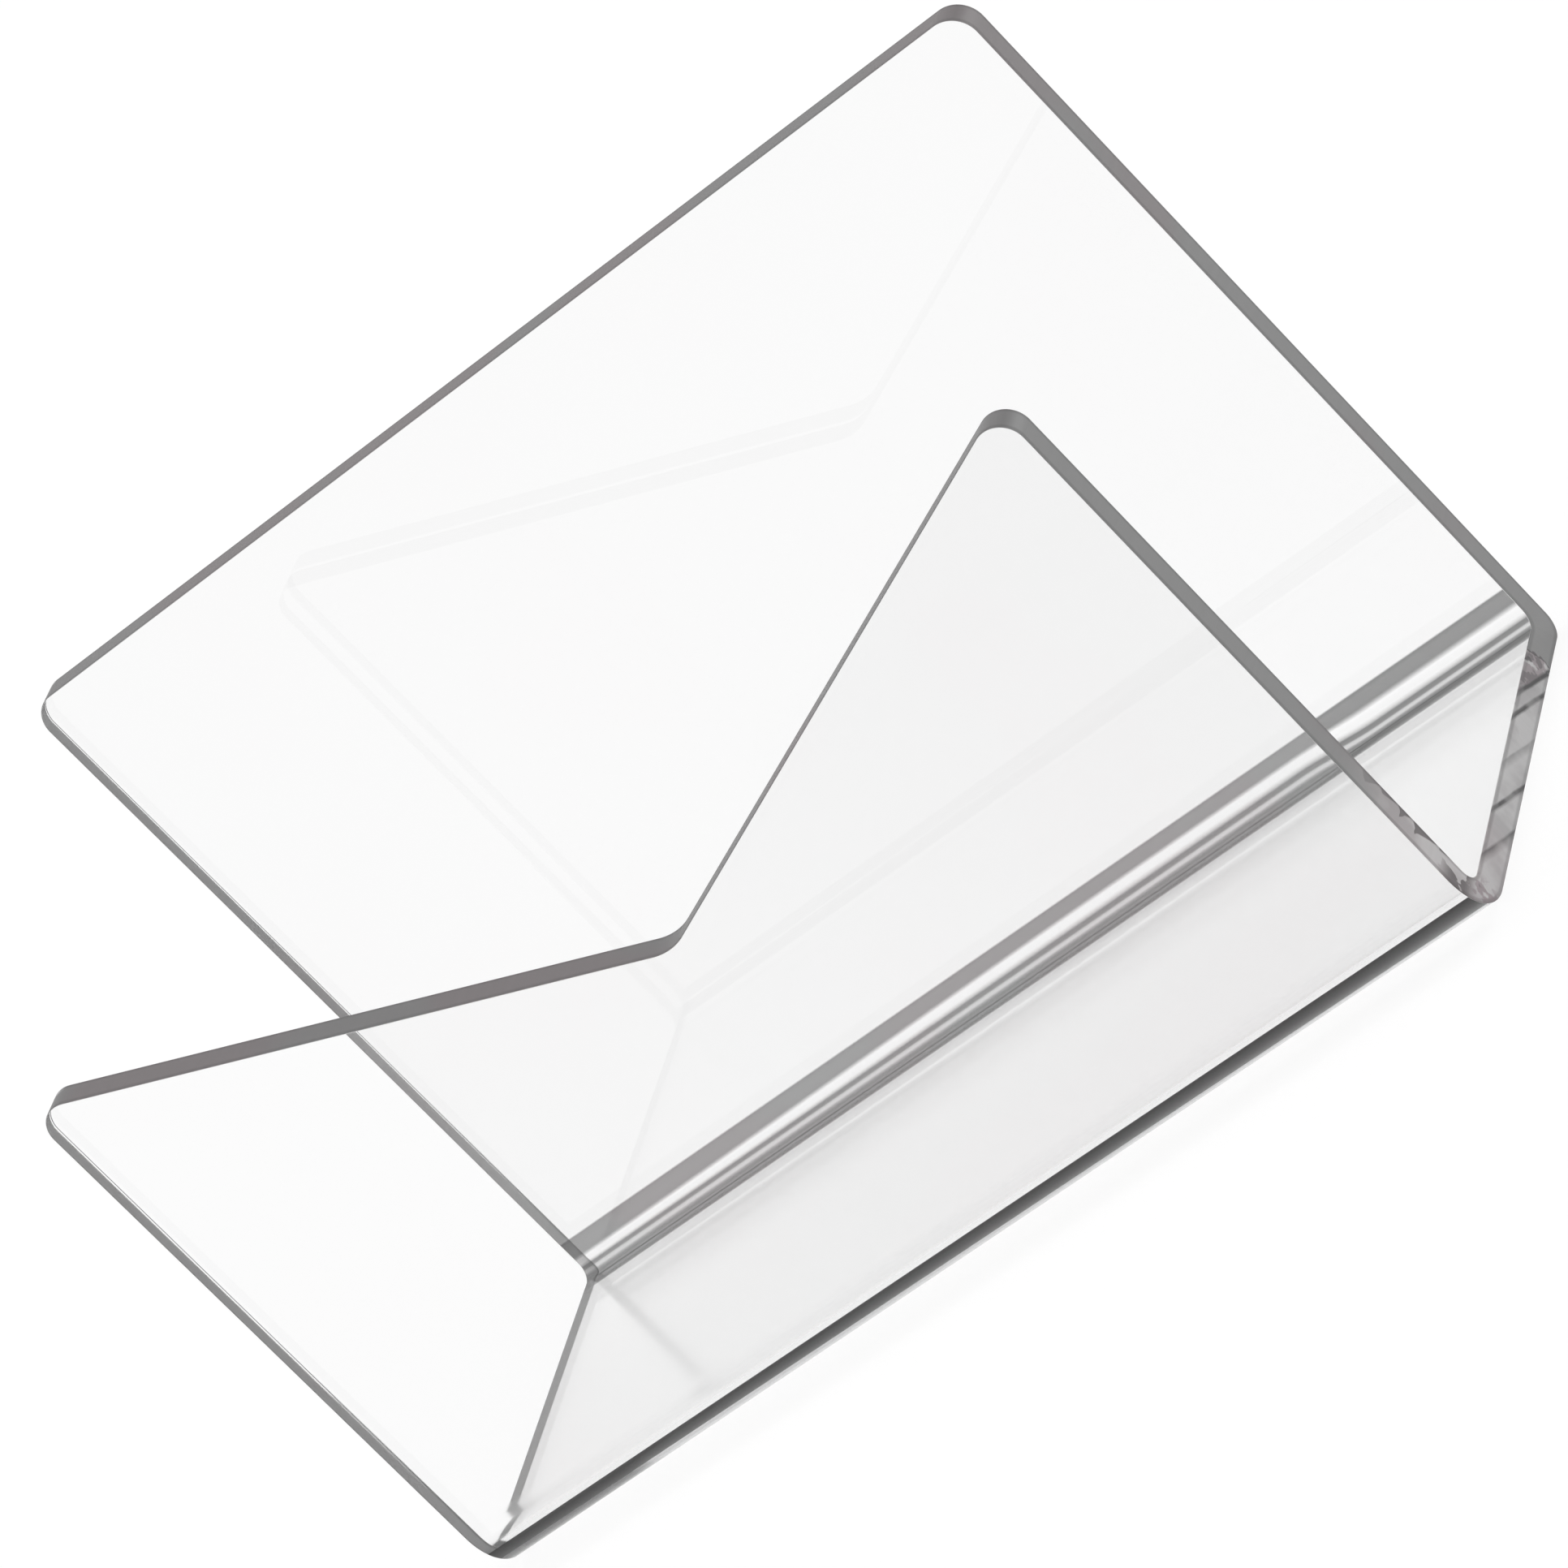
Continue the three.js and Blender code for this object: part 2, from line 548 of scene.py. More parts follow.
@dataclass(frozen=True)
class ClearAcrylic:
    """Clear, colourless acrylic: glossy cast faces, cut edges, and stripes of painted shade and painted
    highlight along its two bends.
    """

    edge: CutEdge = CutEdge()
    index: float = 1.49
    greyness_per_metre: float = 4.0
    # Painted shade on the front panel's outer face.
    front_face_painted_shade: Colour = (0.93, 0.93, 0.93, 1.0)
    front_shade_reach: Span = (-45.0 * MM, 90.0 * MM)
    face_roughness: float = 0.008
    scuffed_roughness: float = 0.15
    scuffed_run: Run = (-76.2 * MM, -75.7 * MM, -6.9 * MM, -6.4 * MM)
    handling_marks_per_metre: float = 35.0
    warm_tint: Colour = (1.0, 0.9, 0.92, 1.0)
    warm_patches_per_metre: float = 26.0
    warm_levels: Span = (0.48, 0.58)
    tint_power: float = 2.0
    # Painted shade and painted highlight: grey bands, a clear highlight stripe between them and a faint
    # shade across the base.
    back_bend_painted_shade_and_highlight: tuple[Stripe, ...] = stripe_edges(
        (-73.0, 1.0), (-70.0, 0.95), (-40.0, 0.965), (-20.0, 1.0), (-6.4, 1.0),
        (-6.1, 0.36), (-5.4, 0.24), (-3.05, 0.25), (-2.5, 0.82), (-2.05, 0.28),
        (-1.45, 0.22), (-0.6, 1.0), (0.7, 1.0), (1.05, 0.66), (1.45, 0.3),
        (3.4, 0.31), (4.05, 0.27), (4.3, 0.985),
    )
    drift: float = 0.77 * MM
    drift_run: Run = (-5.5 * MM, -3.0 * MM, 0.4 * MM, 3.4 * MM)
    drift_reach: Span = (66.0 * MM, 52.0 * MM)
    narrow: float = 1.1 * MM
    narrow_run: Run = (-1.5 * MM, 1.0 * MM, 1.5 * MM, 3.8 * MM)
    narrow_reach: Span = (20.0 * MM, -95.0 * MM)
    front_ends: Span = (4.0 * MM, 4.5 * MM)
    front_narrowing: float = 2.4
    # Painted shade: the dark band along the front bend.
    front_bend_painted_shade: tuple[Stripe, ...] = stripe_edges(
        (4.5, 1.0), (4.6, 0.02), (8.05, 0.1), (8.15, 1.0),
    )

    def material(self) -> bpy.types.Material:
        """Builds the finish.

        Returns:
            One material for the whole sheet, faces and cut edges alike.
        """
        material = bpy.data.materials.new("clear_acrylic")
        material.use_nodes = True
        graph = NodeGraph(material.node_tree)
        shader = material.node_tree.nodes["Principled BSDF"]
        shader.inputs["IOR"].default_value = self.index
        edge = self.edge.grey_share(graph)
        clear = graph.less(graph.times(edge, 1.0 - self.edge.light_through))
        graph.feed(shader.inputs["Transmission Weight"], clear)
        colour = graph.blend("MIX", edge, self._face_colour(graph), self.edge.colour(graph))
        graph.feed(shader.inputs["Base Color"], self._warm_patches(graph, colour))
        graph.feed(shader.inputs["Roughness"], self._roughness(graph, edge))
        graph.feed(shader.inputs["Normal"], self._polish_lines(graph, edge))
        absorption = graph.add("ShaderNodeVolumeAbsorption")
        absorption.inputs["Color"].default_value = BLACK
        absorption.inputs["Density"].default_value = self.greyness_per_metre
        output = material.node_tree.nodes["Material Output"]
        graph.feed(output.inputs["Volume"], absorption.outputs[0])
        return material

    def _face_colour(self, graph: NodeGraph) -> Socket:
        """Makes the faces' colour: nearly clear, with the two bends' stripes of painted shade and
        painted highlight, and painted shade on the front panel.

        A face lets through the square root of its colour, so the stripes' shares are squared.

        Args:
            graph: the material's nodes.

        Returns:
            The colour.
        """
        back = graph.stripes(self._back_run(graph), self.back_bend_painted_shade_and_highlight, self.tint_power)
        start = self.front_bend_painted_shade[0].run
        past = graph.math("SUBTRACT", graph.tag(MeshTag.PAST_FRONT_PANEL), start)
        widening = graph.math("MULTIPLY_ADD", graph.place()[0], -self.front_narrowing, 1.0)
        past = graph.math("MULTIPLY_ADD", past, widening, start)
        front = graph.stripes(past, self.front_bend_painted_shade, self.tint_power)
        # Painted shade: the front panel's outer face greys a little towards the right.
        shade = graph.times(self._on_front(graph), graph.rise(graph.place()[0], *self.front_shade_reach))
        both = graph.blend("MULTIPLY", 1.0, back, front)
        return graph.blend("MULTIPLY", shade, both, self.front_face_painted_shade)

    def _back_run(self, graph: NodeGraph) -> Socket:
        """Measures the way across the back bend, whose stripes drift a little along its length."""
        past = graph.tag(MeshTag.PAST_BACK_BEND)
        across = graph.place()[0]
        drift_share = graph.rise(across, *self.drift_reach)
        narrow_share = graph.rise(across, *self.narrow_reach)
        drift = graph.times(graph.hump(past, self.drift_run), drift_share)
        narrow = graph.times(graph.hump(past, self.narrow_run), narrow_share)
        past = graph.math("MULTIPLY_ADD", drift, -self.drift, past)
        return graph.math("MULTIPLY_ADD", narrow, self.narrow, past)

    def _on_front(self, graph: NodeGraph) -> Socket:
        """Tells the front panel's outer face, 1, from the rest, 0."""
        return graph.less(graph.rise(graph.tag(MeshTag.PAST_FRONT_PANEL), *self.front_ends))

    def _warm_patches(self, graph: NodeGraph, colour: Socket) -> Socket:
        """Warms the grey stripes and edges a little here and there.

        Args:
            graph: the material's nodes.
            colour: the colour without it.

        Returns:
            The warmed colour. Clear places stay as they are.
        """
        grey = graph.add("ShaderNodeRGBToBW")
        graph.feed(grey.inputs[0], colour)
        patches = graph.noise(self.warm_patches_per_metre, detail=1.0)
        share = graph.times(graph.rise(patches, *self.warm_levels), graph.less(grey.outputs[0]))
        return graph.blend("MULTIPLY", share, colour, self.warm_tint)

    def _roughness(self, graph: NodeGraph, edge: Socket) -> Socket:
        """Makes the roughness: faint marks on the faces, more on the base, most on the cut edges.

        Args:
            graph: the material's nodes.
            edge: 1 on the cut edges and 0 on the faces.

        Returns:
            The roughness.
        """
        marks = graph.noise(self.handling_marks_per_metre, detail=4.0)
        on_faces = graph.times(marks, self.face_roughness)
        on_edges = graph.times(edge, self.edge.roughness)
        scuffed = graph.hump(graph.tag(MeshTag.PAST_BACK_BEND), self.scuffed_run)
        on_base = graph.times(scuffed, self.scuffed_roughness)
        return graph.math("MAXIMUM", graph.math("ADD", on_faces, on_edges), on_base)

    def _polish_lines(self, graph: NodeGraph, edge: Socket) -> Socket:
        """Makes the fine lines that cutting and polishing leave across the sheet's thickness.

        Args:
            graph: the material's nodes.
            edge: 1 on the cut edges and 0 on the faces.

        Returns:
            The bumped normal.
        """
        lines = self.edge.polish_lines(graph)
        bump = graph.add("ShaderNodeBump")
        bump.inputs["Distance"].default_value = self.edge.polish_line_depth
        graph.feed(bump.inputs["Height"], graph.times(lines, edge))
        return bump.outputs[0]


@dataclass(frozen=True)
class PaperWhite:
    """Matt white seamless paper, which the camera and the clear sheet see as plain white."""

    albedo: float = 0.15
    daylight: float = 1.0
    headroom: float = 0.01
    grain_per_metre: float = 1500.0
    grain_depth: float = 0.01 * MM

    def material(self) -> bpy.types.Material:
        """Builds the finish.

        Returns:
            A matt white material that keeps the object's shadow.
        """
        material = bpy.data.materials.new("seamless_paper")
        material.use_nodes = True
        graph = NodeGraph(material.node_tree)
        shader = material.node_tree.nodes["Principled BSDF"]
        shader.inputs["Base Color"].default_value = (self.albedo, self.albedo, self.albedo, 1.0)
        shader.inputs["Roughness"].default_value = 1.0
        shader.inputs["Specular IOR Level"].default_value = 0.0
        bump = graph.add("ShaderNodeBump")
        bump.inputs["Distance"].default_value = self.grain_depth
        graph.feed(bump.inputs["Height"], graph.noise(self.grain_per_metre, detail=2.0))
        graph.feed(shader.inputs["Normal"], bump.outputs[0])
        missing = 1.0 + self.headroom - self.albedo * self.daylight
        shader.inputs["Emission Color"].default_value = WHITE
        lift = graph.times(seen_directly(graph), missing)
        graph.feed(shader.inputs["Emission Strength"], lift)
        return material


def seen_directly(graph: NodeGraph) -> Socket:
    """Tells the rays that look at the studio from those that carry its light.

    Args:
        graph: the nodes of a floor or world.

    Returns:
        1 for a camera, glossy or transmission ray and 0 for any other.
    """
    path = graph.add("ShaderNodeLightPath")
    total = 0.0
    for kind in RayKind:
        total = graph.math("MAXIMUM", total, path.outputs[kind.value])
    return total


@dataclass(frozen=True)
class Bend:
    """A quarter-turn bend, whose two faces are rounded by radii of their own."""

    thickness: float
    inner_radius: float
    outer_radius: float

    @property
    def reach(self) -> float:
        """How far from the outer faces' sharp corner the bend starts and ends."""
        return max(self.outer_radius, self.thickness + self.inner_radius)

    @property
    def run(self) -> float:
        """The length of blank that the bend takes up."""
        return (self.face_run(False) + self.face_run(True)) / 2

    def face_run(self, is_inner: bool) -> float:
        """Measures one face round the bend."""
        radius = self.inner_radius if is_inner else self.outer_radius
        return 2 * self._straight(is_inner) + QUARTER_TURN * radius

    def face(self, share: float, is_inner: bool) -> tuple[float, float, float]:
        """Follows one face round the bend.

        Args:
            share: how much of the bend is behind, from 0 to 1.
            is_inner: whether it is the inner face.

        Returns:
            The ways gone ahead and aside, and the angle turned.
        """
        radius = self.inner_radius if is_inner else self.outer_radius
        straight = self._straight(is_inner)
        way = share * self.face_run(is_inner)
        turn = min(max((way - straight) / radius, 0.0), QUARTER_TURN)
        ahead = min(way, straight) + radius * math.sin(turn)
        after = max(way - straight - QUARTER_TURN * radius, 0.0)
        return ahead, radius * (1 - math.cos(turn)) + after, turn

    def _straight(self, is_inner: bool) -> float:
        """The straight stretch before and after the rounding, within the bend's reach."""
        if is_inner:
            return self.reach - self.thickness - self.inner_radius
        return self.reach - self.outer_radius


@dataclass(frozen=True)
class SheetProfile:
    """The sheet seen from its end: two panels and a base, joined by two bends."""

    depth: float
    front_height: float
    back_height: float
    thickness: float
    front_bend: Bend
    back_bend: Bend

    @property
    def base_run(self) -> float:
        """The length of the flat base."""
        return self.depth - self.front_bend.reach - self.back_bend.reach

    @property
    def front_bend_start(self) -> float:
        """Where the front panel ends and its bend starts, measured from the front's top edge."""
        return self.front_height - self.front_bend.reach

    @property
    def back_bend_start(self) -> float:
        """Where the base ends and the back bend starts."""
        return self.front_bend_start + self.front_bend.run + self.base_run

    @property
    def back_bend_end(self) -> float:
        """Where the back bend ends and the back panel starts."""
        return self.back_bend_start + self.back_bend.run

    @property
    def whole_run(self) -> float:
        """The length of the whole blank, from the front's top edge to the back's."""
        return self.back_bend_end + self.back_height - self.back_bend.reach

    def bend_stations(self, steps: int) -> list[float]:
        """Lists the runs at which the mesh has a row of points.

        Args:
            steps: how many stretches each bend is cut into.

        Returns:
            The runs of both bends, in rising order.
        """
        return [
            start + bend.run * k / steps
            for start, bend in (
                (self.front_bend_start, self.front_bend),
                (self.back_bend_start, self.back_bend),
            )
            for k in range(steps + 1)
        ]

    def station(self, run: float) -> Station:
        """Finds where one run of the blank lies once it is bent.

        Args:
            run: a distance from the front panel's top edge, along the sheet.

        Returns:
            The places on both faces.
        """
        return Station(self._face_point(run, False), self._face_point(run, True))

    def _face_point(self, run: float, is_inner: bool) -> FacePoint:
        """Finds one run's place on one of the faces."""
        on_front = min(run, self.front_bend_start)
        on_base = self._clamp(run - self.back_bend_start + self.base_run, self.base_run)
        on_back = max(run - self.back_bend_end, 0.0)
        front_share = self._clamp((run - self.front_bend_start) / self.front_bend.run, 1.0)
        back_share = self._clamp((run - self.back_bend_start) / self.back_bend.run, 1.0)
        front_ahead, front_aside, front_turn = self.front_bend.face(front_share, is_inner)
        back_ahead, back_aside, back_turn = self.back_bend.face(back_share, is_inner)
        turn = front_turn + back_turn
        start = (self.thickness if is_inner else 0.0) - self.depth / 2
        place = Vector(
            (
                0.0,
                start + front_aside + on_base + back_ahead,
                self.front_height - on_front - front_ahead + back_aside + on_back,
            )
        )
        bent = front_share * self.front_bend.face_run(is_inner)
        bent += back_share * self.back_bend.face_run(is_inner)
        along = Vector((0.0, math.sin(turn), -math.cos(turn)))
        outward = Vector((0.0, -math.cos(turn), -math.sin(turn)))
        return FacePoint(place, on_front + on_base + on_back + bent, along, outward)

    @staticmethod
    def _clamp(value: float, highest: float) -> float:
        """Keeps a value between 0 and its highest."""
        return min(max(value, 0.0), highest)


@dataclass(frozen=True)
class BentSheet:
    """The organizer's one piece: a sheet of acrylic, cut to outline, edge-polished and bent twice."""

    node: str
    body: str
    slot: str
    finish: ClearAcrylic
    thickness: float = 5.0 * MM
    front_height: float = 102.0 * MM
    notch_depth: float = 36.5 * MM
    back_bend_inner_radius: float = 2.5 * MM
    back_bend_outer_radius: float = 3.0 * MM
    front_bend_inner_radius: float = 2.75 * MM
    front_bend_outer_radius: float = 10.0 * MM
    back_corner_radius: float = 4.5 * MM
    front_corner_radius: float = 4.0 * MM
    notch_bottom_radius: float = 8.0 * MM
    edge_easing: float = 0.15 * MM
    bend_steps: int = 48
    corner_steps: int = 20
    easing_steps: int = 4

    def build(self) -> bpy.types.Object:
        """Makes the sheet at the place and size of its solid.

        Returns:
            The finished piece.
        """
        low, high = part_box(self.node)
        size = high - low
        front = Bend(self.thickness, self.front_bend_inner_radius, self.front_bend_outer_radius)
        back = Bend(self.thickness, self.back_bend_inner_radius, self.back_bend_outer_radius)
        profile = SheetProfile(
            size.y, self.front_height, size.z, self.thickness, front, back
        )
        piece = bpy.data.objects.new("clear_bent_sheet", self._mesh(profile, size.x / 2))
        bpy.context.scene.collection.objects.link(piece)
        piece.data.materials.append(self.finish.material())
        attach(piece, self.body)
        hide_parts(self.node)
        LOG.info("%s: %d points, %.1f mm wide", piece.name, len(piece.data.vertices), size.x / MM)
        return piece

    def _outline(self, profile: SheetProfile, half_width: float) -> "BlankOutline":
        """Lays out the flat blank.

        Args:
            profile: the sheet's side view.
            half_width: half of the sheet's width.

        Returns:
            The blank's outline, with its corners rounded.
        """
        whole = profile.whole_run
        back = (
            Corner(half_width, whole, self.back_corner_radius),
            Corner(-half_width, whole, self.back_corner_radius),
        )
        front = (
            Corner(-half_width, 0.0, self.front_corner_radius),
            Corner(0.0, self.notch_depth, self.notch_bottom_radius),
            Corner(half_width, 0.0, self.front_corner_radius),
        )
        stations = profile.bend_stations(self.bend_steps)
        return BlankOutline(back, front, half_width, stations, self.corner_steps)

    def _edge_rings(self) -> Iterator[EdgeRing]:
        """Goes round the cut edge, from the outer face over both eased arrises to the inner face."""
        steps = self.easing_steps
        for side in (1.0, -1.0):
            leans = [QUARTER_TURN * k / steps for k in range(steps + 1)]
            for lean in leans if side > 0 else reversed(leans):
                inset = self.edge_easing * (1 - math.sin(lean))
                sunk = self.edge_easing * (1 - math.cos(lean))
                yield EdgeRing(side < 0, inset, side * sunk, side * math.cos(lean), math.sin(lean))

    def _mesh(self, profile: SheetProfile, half_width: float) -> bpy.types.Mesh:
        """Bends the blank's outline into a closed mesh with exact smooth normals.

        Args:
            profile: the sheet's side view.
            half_width: half of the sheet's width.

        Returns:
            The sheet's mesh.
        """
        outline = self._outline(profile, half_width)
        points = outline.points()
        rings = list(self._edge_rings())
        stations = [profile.station(point.run) for point in points]
        places, normals = [], []
        for ring in rings:
            for point, station in zip(points, stations):
                face = station.inner if ring.is_inner else station.outer
                sideways = Vector((point.out_across, 0.0, 0.0)) + face.along * point.out_run
                place = face.place + Vector((point.across, 0.0, 0.0))
                places.append(place - face.outward * ring.sunk - sideways * ring.inset)
                normals.append(face.outward * ring.outward + sideways * ring.sideways)
        mesh = bpy.data.meshes.new("clear_bent_sheet")
        faces = list(outline.faces(len(rings)))
        mesh.from_pydata(places, [], faces)
        mesh.polygons.foreach_set("use_smooth", [True] * len(faces))
        self._tag_edge(mesh, outline, rings)
        self._tag_bends(mesh, profile, stations)
        mesh.normals_split_custom_set_from_vertices(normals)
        mesh.validate(verbose=False)
        return mesh

    def _tag_bends(
        self, mesh: bpy.types.Mesh, profile: SheetProfile, stations: list[Station]
    ) -> None:
        """Gives both faces their way along the sheet, for the stripes of the bends.

        Args:
            mesh: the sheet's mesh.
            profile: the sheet's side view.
            stations: the places of the outline's points.
        """
        back_start = profile.station(profile.back_bend_end).inner.run
        front_end = profile.station(profile.front_bend_start).outer.run
        count = len(stations)
        total = len(mesh.vertices)
        past_back = [FAR_AWAY] * (total - count) + [at.inner.run - back_start for at in stations]
        past_front = [at.outer.run - front_end for at in stations] + [FAR_AWAY] * (total - count)
        for tag, values in (
            (MeshTag.PAST_BACK_BEND, past_back),
            (MeshTag.PAST_FRONT_PANEL, past_front),
        ):
            mesh.attributes.new(tag.value, "FLOAT", "POINT").data.foreach_set("value", values)

    def _tag_edge(
        self, mesh: bpy.types.Mesh, outline: "BlankOutline", rings: list[EdgeRing]
    ) -> None:
        """Marks the cut edge, and gives its points their distance round the outline.

        Args:
            mesh: the sheet's mesh.
            outline: the blank's outline.
            rings: the rings of the cut edge.
        """
        count = len(outline.points())
        cut_edge = mesh.attributes.new(MeshTag.CUT_EDGE.value, "FLOAT", "POINT")
        values = [math.ceil(ring.sideways) for ring in rings for _ in range(count)]
        cut_edge.data.foreach_set("value", values)
        through = mesh.attributes.new(MeshTag.THROUGH.value, "FLOAT", "POINT")
        starts = [self.thickness if ring.is_inner else 0.0 for ring in rings]
        values = [start + ring.sunk for start, ring in zip(starts, rings) for _ in range(count)]
        through.data.foreach_set("value", values)
        edge_run = mesh.attributes.new(MeshTag.EDGE_RUN.value, "FLOAT", "CORNER")
        distances = outline.distances()
        for polygon in mesh.polygons:
            places = [mesh.loops[loop].vertex_index % count for loop in polygon.loop_indices]
            closes_loop = len(places) == 4 and {0, count - 1} <= set(places)
            for loop, place in zip(polygon.loop_indices, places):
                place = count if closes_loop and place == 0 else place
                edge_run.data[loop].value = distances[place]


@dataclass(frozen=True)
class BlankOutline:
    """The flat blank's outline: the back's top edge, the left side, the V-cut front, the right side."""

    back: tuple[Corner, ...]
    front: tuple[Corner, ...]
    half_width: float
    stations: list[float]
    corner_steps: int

    def points(self) -> list[OutlinePoint]:
        """Lists the outline's points, anticlockwise as seen from inside the organizer.

        Returns:
            The points, each with the direction that leads out of the sheet.
        """
        left = [OutlinePoint(-self.half_width, run, -1.0, 0.0) for run in reversed(self.stations)]
        right = [OutlinePoint(self.half_width, run, 1.0, 0.0) for run in self.stations]
        corners = [*self.back, *self.front]
        arcs = [
            self._round(corners[k - 1], corners[k], corners[(k + 1) % len(corners)])
            for k in range(len(corners))
        ]
        back = [point for arc in arcs[: len(self.back)] for point in arc]
        front = [point for arc in arcs[len(self.back) :] for point in arc]
        return [*back, *left, *front, *right]

    def distances(self) -> list[float]:
        """Measures the way round the outline.

        Returns:
            Each point's distance from the first one, and last the whole length.
        """
        points = self.points()
        total = [0.0]
        for here, there in zip(points, [*points[1:], points[0]]):
            total.append(total[-1] + math.hypot(there.across - here.across, there.run - here.run))
        return total

    def faces(self, ring_count: int) -> Iterator[tuple[int, ...]]:
        """Lists the faces of the whole sheet.

        Args:
            ring_count: how many rings the cut edge has, the two faces' own rings included.

        Yields:
            Each face's points, anticlockwise as seen from outside the sheet.
        """
        count = len(self.points())
        inner = count * (ring_count - 1)
        for face in self._face_parts():
            yield tuple(inner + k for k in face)
            yield tuple(reversed(face))
        for ring in range(ring_count - 1):
            low, high = ring * count, (ring + 1) * count
            for k in range(count):
                ahead = (k + 1) % count
                yield low + k, low + ahead, high + ahead, high + k

    def _face_parts(self) -> Iterator[tuple[int, ...]]:
        """Cuts one face of the sheet into its two panels and the strips of the bends and base."""
        rows = len(self.stations)
        back_count = len(self.back) * (self.corner_steps + 1)
        front_count = len(self.front) * (self.corner_steps + 1)
        left = back_count
        front = left + rows
        right = front + front_count
        yield right + rows - 1, *range(left + 1)
        yield tuple(range(front - 1, right + 1))
        for row in range(rows - 1):
            beside = front - 1 - row
            yield right + row, right + row + 1, beside - 1, beside

    def _round(self, before: Corner, corner: Corner, after: Corner) -> list[OutlinePoint]:
        """Rounds one corner of the outline.

        Args:
            before: the corner before it.
            corner: the corner itself, with its radius.
            after: the corner after it.

        Returns:
            The points of its arc.
        """
        here = Vector((corner.across, corner.run))
        arriving = (here - Vector((before.across, before.run))).normalized()
        leaving = (Vector((after.across, after.run)) - here).normalized()
        turn = math.atan2(arriving.x * leaving.y - arriving.y * leaving.x, arriving.dot(leaving))
        start = here - arriving * corner.radius * math.tan(abs(turn) / 2)
        bulge = math.copysign(corner.radius, turn)
        right = Vector((arriving.y, -arriving.x))
        centre = start - right * bulge
        arc = []
        for k in range(self.corner_steps + 1):
            out = right.copy()
            out.rotate(Matrix.Rotation(turn * k / self.corner_steps, 2))
            place = centre + out * bulge
            arc.append(OutlinePoint(place.x, place.y, out.x, out.y))
        return arc


@dataclass(frozen=True)
class StudioFloor:
    """A wide level sheet of seamless paper that the organizer stands on."""

    finish: PaperWhite
    radius: float = 6.0
    air_gap: float = 0.15 * MM
    sides: int = 96

    def build(self) -> bpy.types.Object:
        """Makes the floor.

        Returns:
            The floor.
        """
        turns = [2 * math.pi * k / self.sides for k in range(self.sides)]
        rim = [
            (self.radius * math.cos(turn), self.radius * math.sin(turn), -self.air_gap)
            for turn in turns
        ]
        mesh = bpy.data.meshes.new("studio_floor")
        mesh.from_pydata(rim, [], [tuple(range(self.sides))])
        floor = bpy.data.objects.new("studio_floor", mesh)
        bpy.context.scene.collection.objects.link(floor)
        mesh.materials.append(self.finish.material())
        LOG.info("%s: radius %.1f m", floor.name, self.radius)
        return floor


@dataclass(frozen=True)
class StudioLight:
    """Soft even light from all round, with a share of it from one wide lamp up and to the left."""

    daylight: float = 1.0
    lamp_share: float = 0.03
    lamp_spread_deg: float = 40.0
    lamp_azimuth_deg: float = -50.0
    lamp_height_deg: float = 55.0

    def build(self) -> None:
        """Sets the world and its lamp."""
        world = bpy.data.worlds.new("studio")
        bpy.context.scene.world = world
        world.use_nodes = True
        graph = NodeGraph(world.node_tree)
        background = world.node_tree.nodes["Background"]
        background.inputs["Color"].default_value = WHITE
        even = self.daylight * (1 - self.lamp_share)
        rest = graph.times(seen_directly(graph), 1.0 - even)
        graph.feed(background.inputs["Strength"], graph.math("ADD", rest, even))
        lamp = bpy.data.lights.new("wide_lamp", "SUN")
        height = math.radians(self.lamp_height_deg)
        lamp.energy = math.pi * self.daylight * self.lamp_share / math.sin(height)
        lamp.angle = math.radians(self.lamp_spread_deg)
        holder = bpy.data.objects.new("wide_lamp", lamp)
        bpy.context.scene.collection.objects.link(holder)
        azimuth = math.radians(self.lamp_azimuth_deg)
        away = Vector(
            (
                math.sin(azimuth) * math.cos(height),
                -math.cos(azimuth) * math.cos(height),
                math.sin(height),
            )
        )
        holder.rotation_euler = away.to_track_quat("Z", "Y").to_euler()
        LOG.info("studio light: %.0f %% from the lamp", 100 * self.lamp_share)


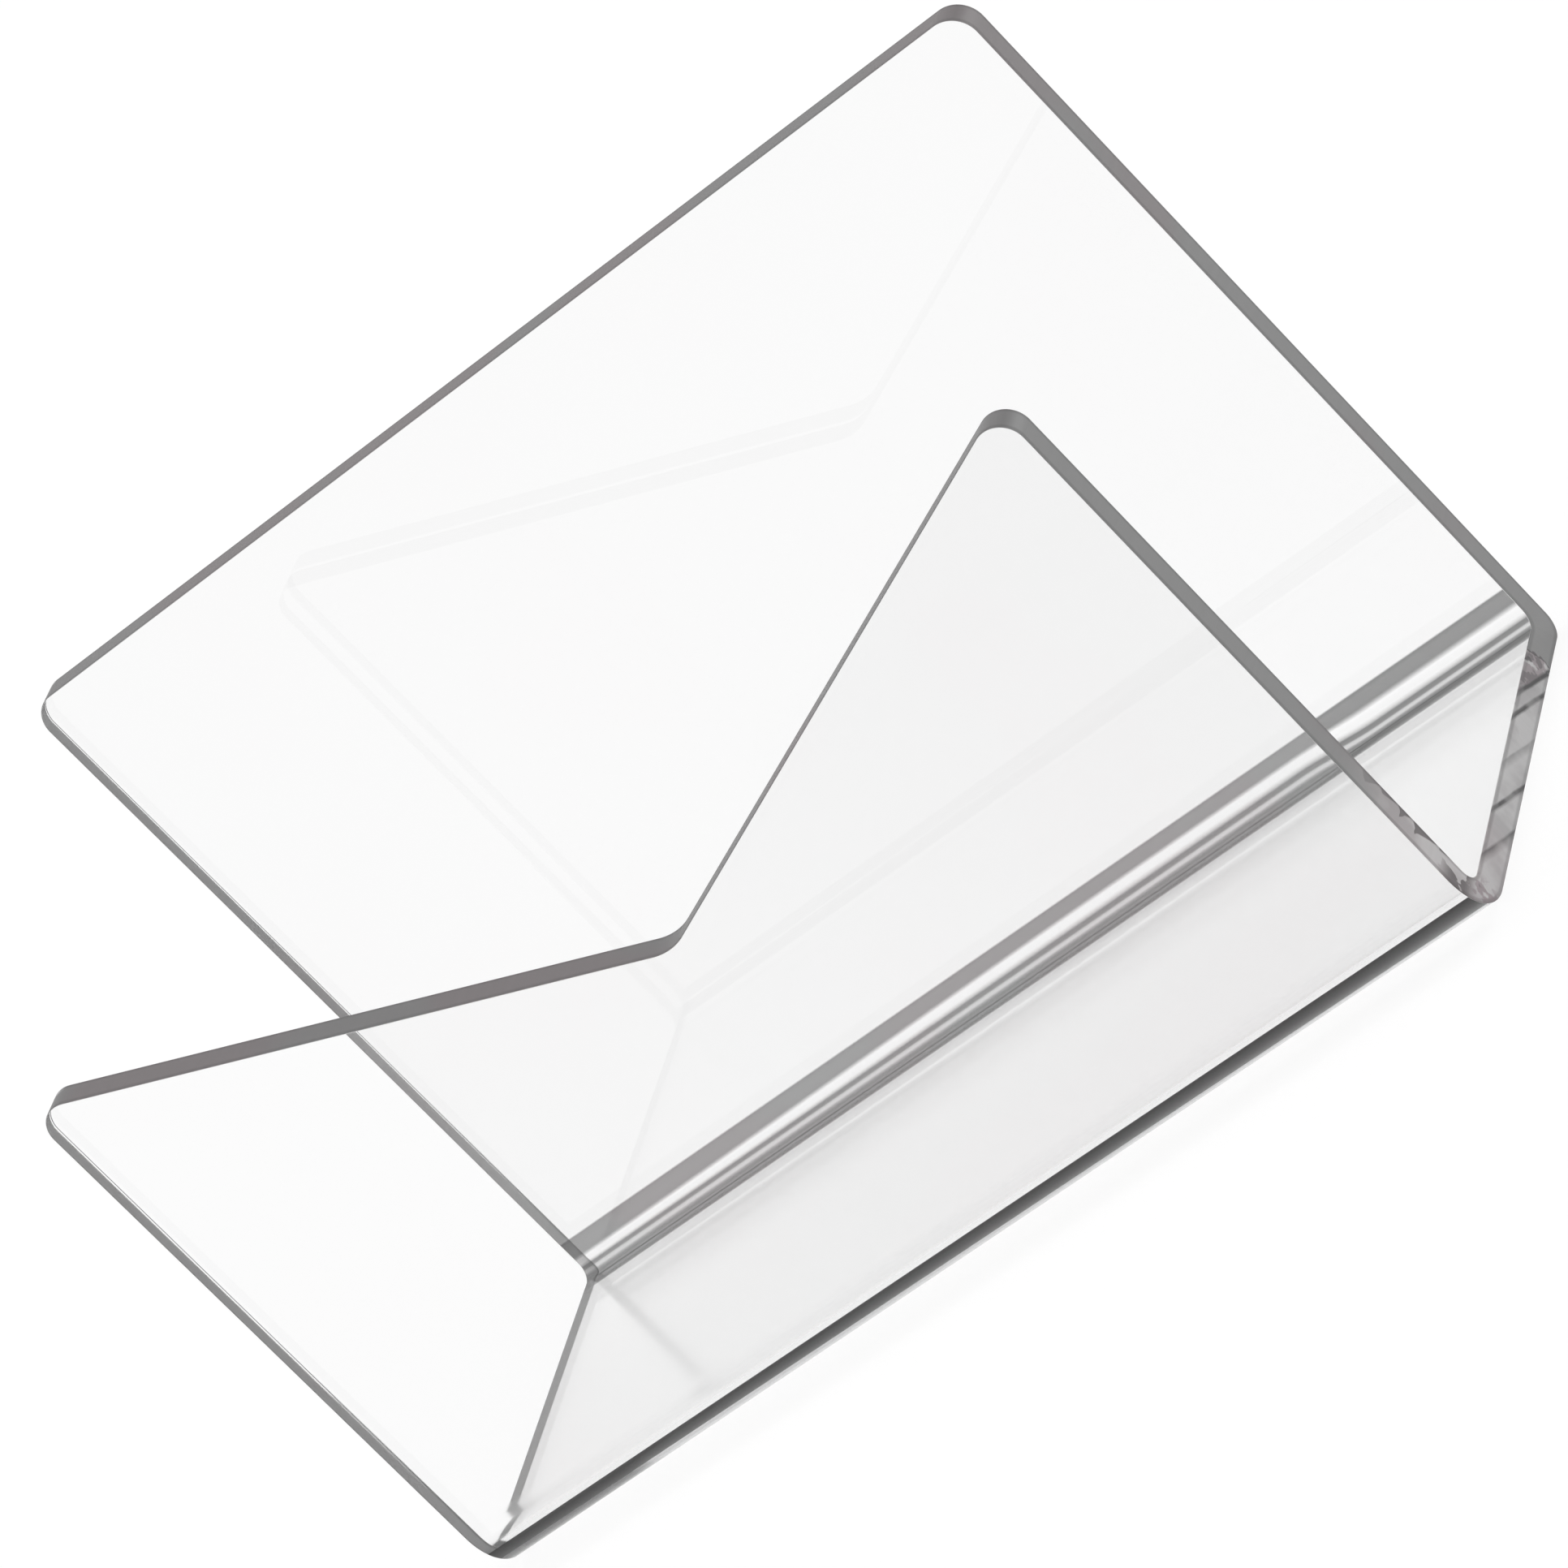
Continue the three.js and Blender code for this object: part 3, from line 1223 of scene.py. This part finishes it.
@dataclass(frozen=True)
class StudioCamera:
    """The photograph's camera: a long lens from the front right, a little above, rolled sideways."""

    azimuth_deg: float = 29.564
    elevation_deg: float = 16.334
    roll_deg: float = -44.514
    distance: float = 1.3090
    aim: tuple[float, float, float] = (0.00693, 0.00298, 0.06142)
    focal_length_mm: float = 210.66
    sensor_mm: float = 36.0

    def build(self) -> bpy.types.Object:
        """Makes the camera and gives it to the scene.

        Returns:
            The camera.
        """
        azimuth = math.radians(self.azimuth_deg)
        elevation = math.radians(self.elevation_deg)
        level = math.cos(elevation)
        back = Vector(
            (math.sin(azimuth) * level, -math.cos(azimuth) * level, math.sin(elevation))
        )
        right = Vector((math.cos(azimuth), math.sin(azimuth), 0.0))
        columns = Matrix((right, back.cross(right), back)).transposed()
        turned = columns @ Matrix.Rotation(math.radians(self.roll_deg), 3, "Z")
        data = bpy.data.cameras.new("photo_camera")
        data.lens = self.focal_length_mm
        data.sensor_width = self.sensor_mm
        data.sensor_fit = "HORIZONTAL"
        camera = bpy.data.objects.new("photo_camera", data)
        bpy.context.scene.collection.objects.link(camera)
        place = Vector(self.aim) + back * self.distance
        camera.matrix_world = Matrix.Translation(place) @ turned.to_4x4()
        bpy.context.scene.camera = camera
        LOG.info("%s: %.2f m from the organizer", camera.name, self.distance)
        return camera


@dataclass(frozen=True)
class ClearSheetTracing:
    """How long a ray is followed inside the sheet, where it runs from face to face many times."""

    bounces: int = 20
    blur: float = 0.0

    def apply(self) -> None:
        """Sets the scene's limits on bounces."""
        cycles = bpy.context.scene.cycles
        cycles.max_bounces = self.bounces
        cycles.glossy_bounces = self.bounces
        cycles.transmission_bounces = self.bounces
        cycles.blur_glossy = self.blur


def main() -> None:
    """Builds the organizer in its studio."""
    logging.basicConfig(level=logging.INFO, format="%(name)s: %(message)s")
    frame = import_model()
    bpy.context.scene.view_settings.view_transform = "Standard"
    StudioCamera().build()
    part = frame["record"]["subparts"][0]
    BentSheet(part["node"], next(iter(frame["bodies"])), part["material_slot"], ClearAcrylic()).build()
    StudioFloor(PaperWhite()).build()
    StudioLight().build()
    ClearSheetTracing().apply()


if __name__ == "__main__":
    main()
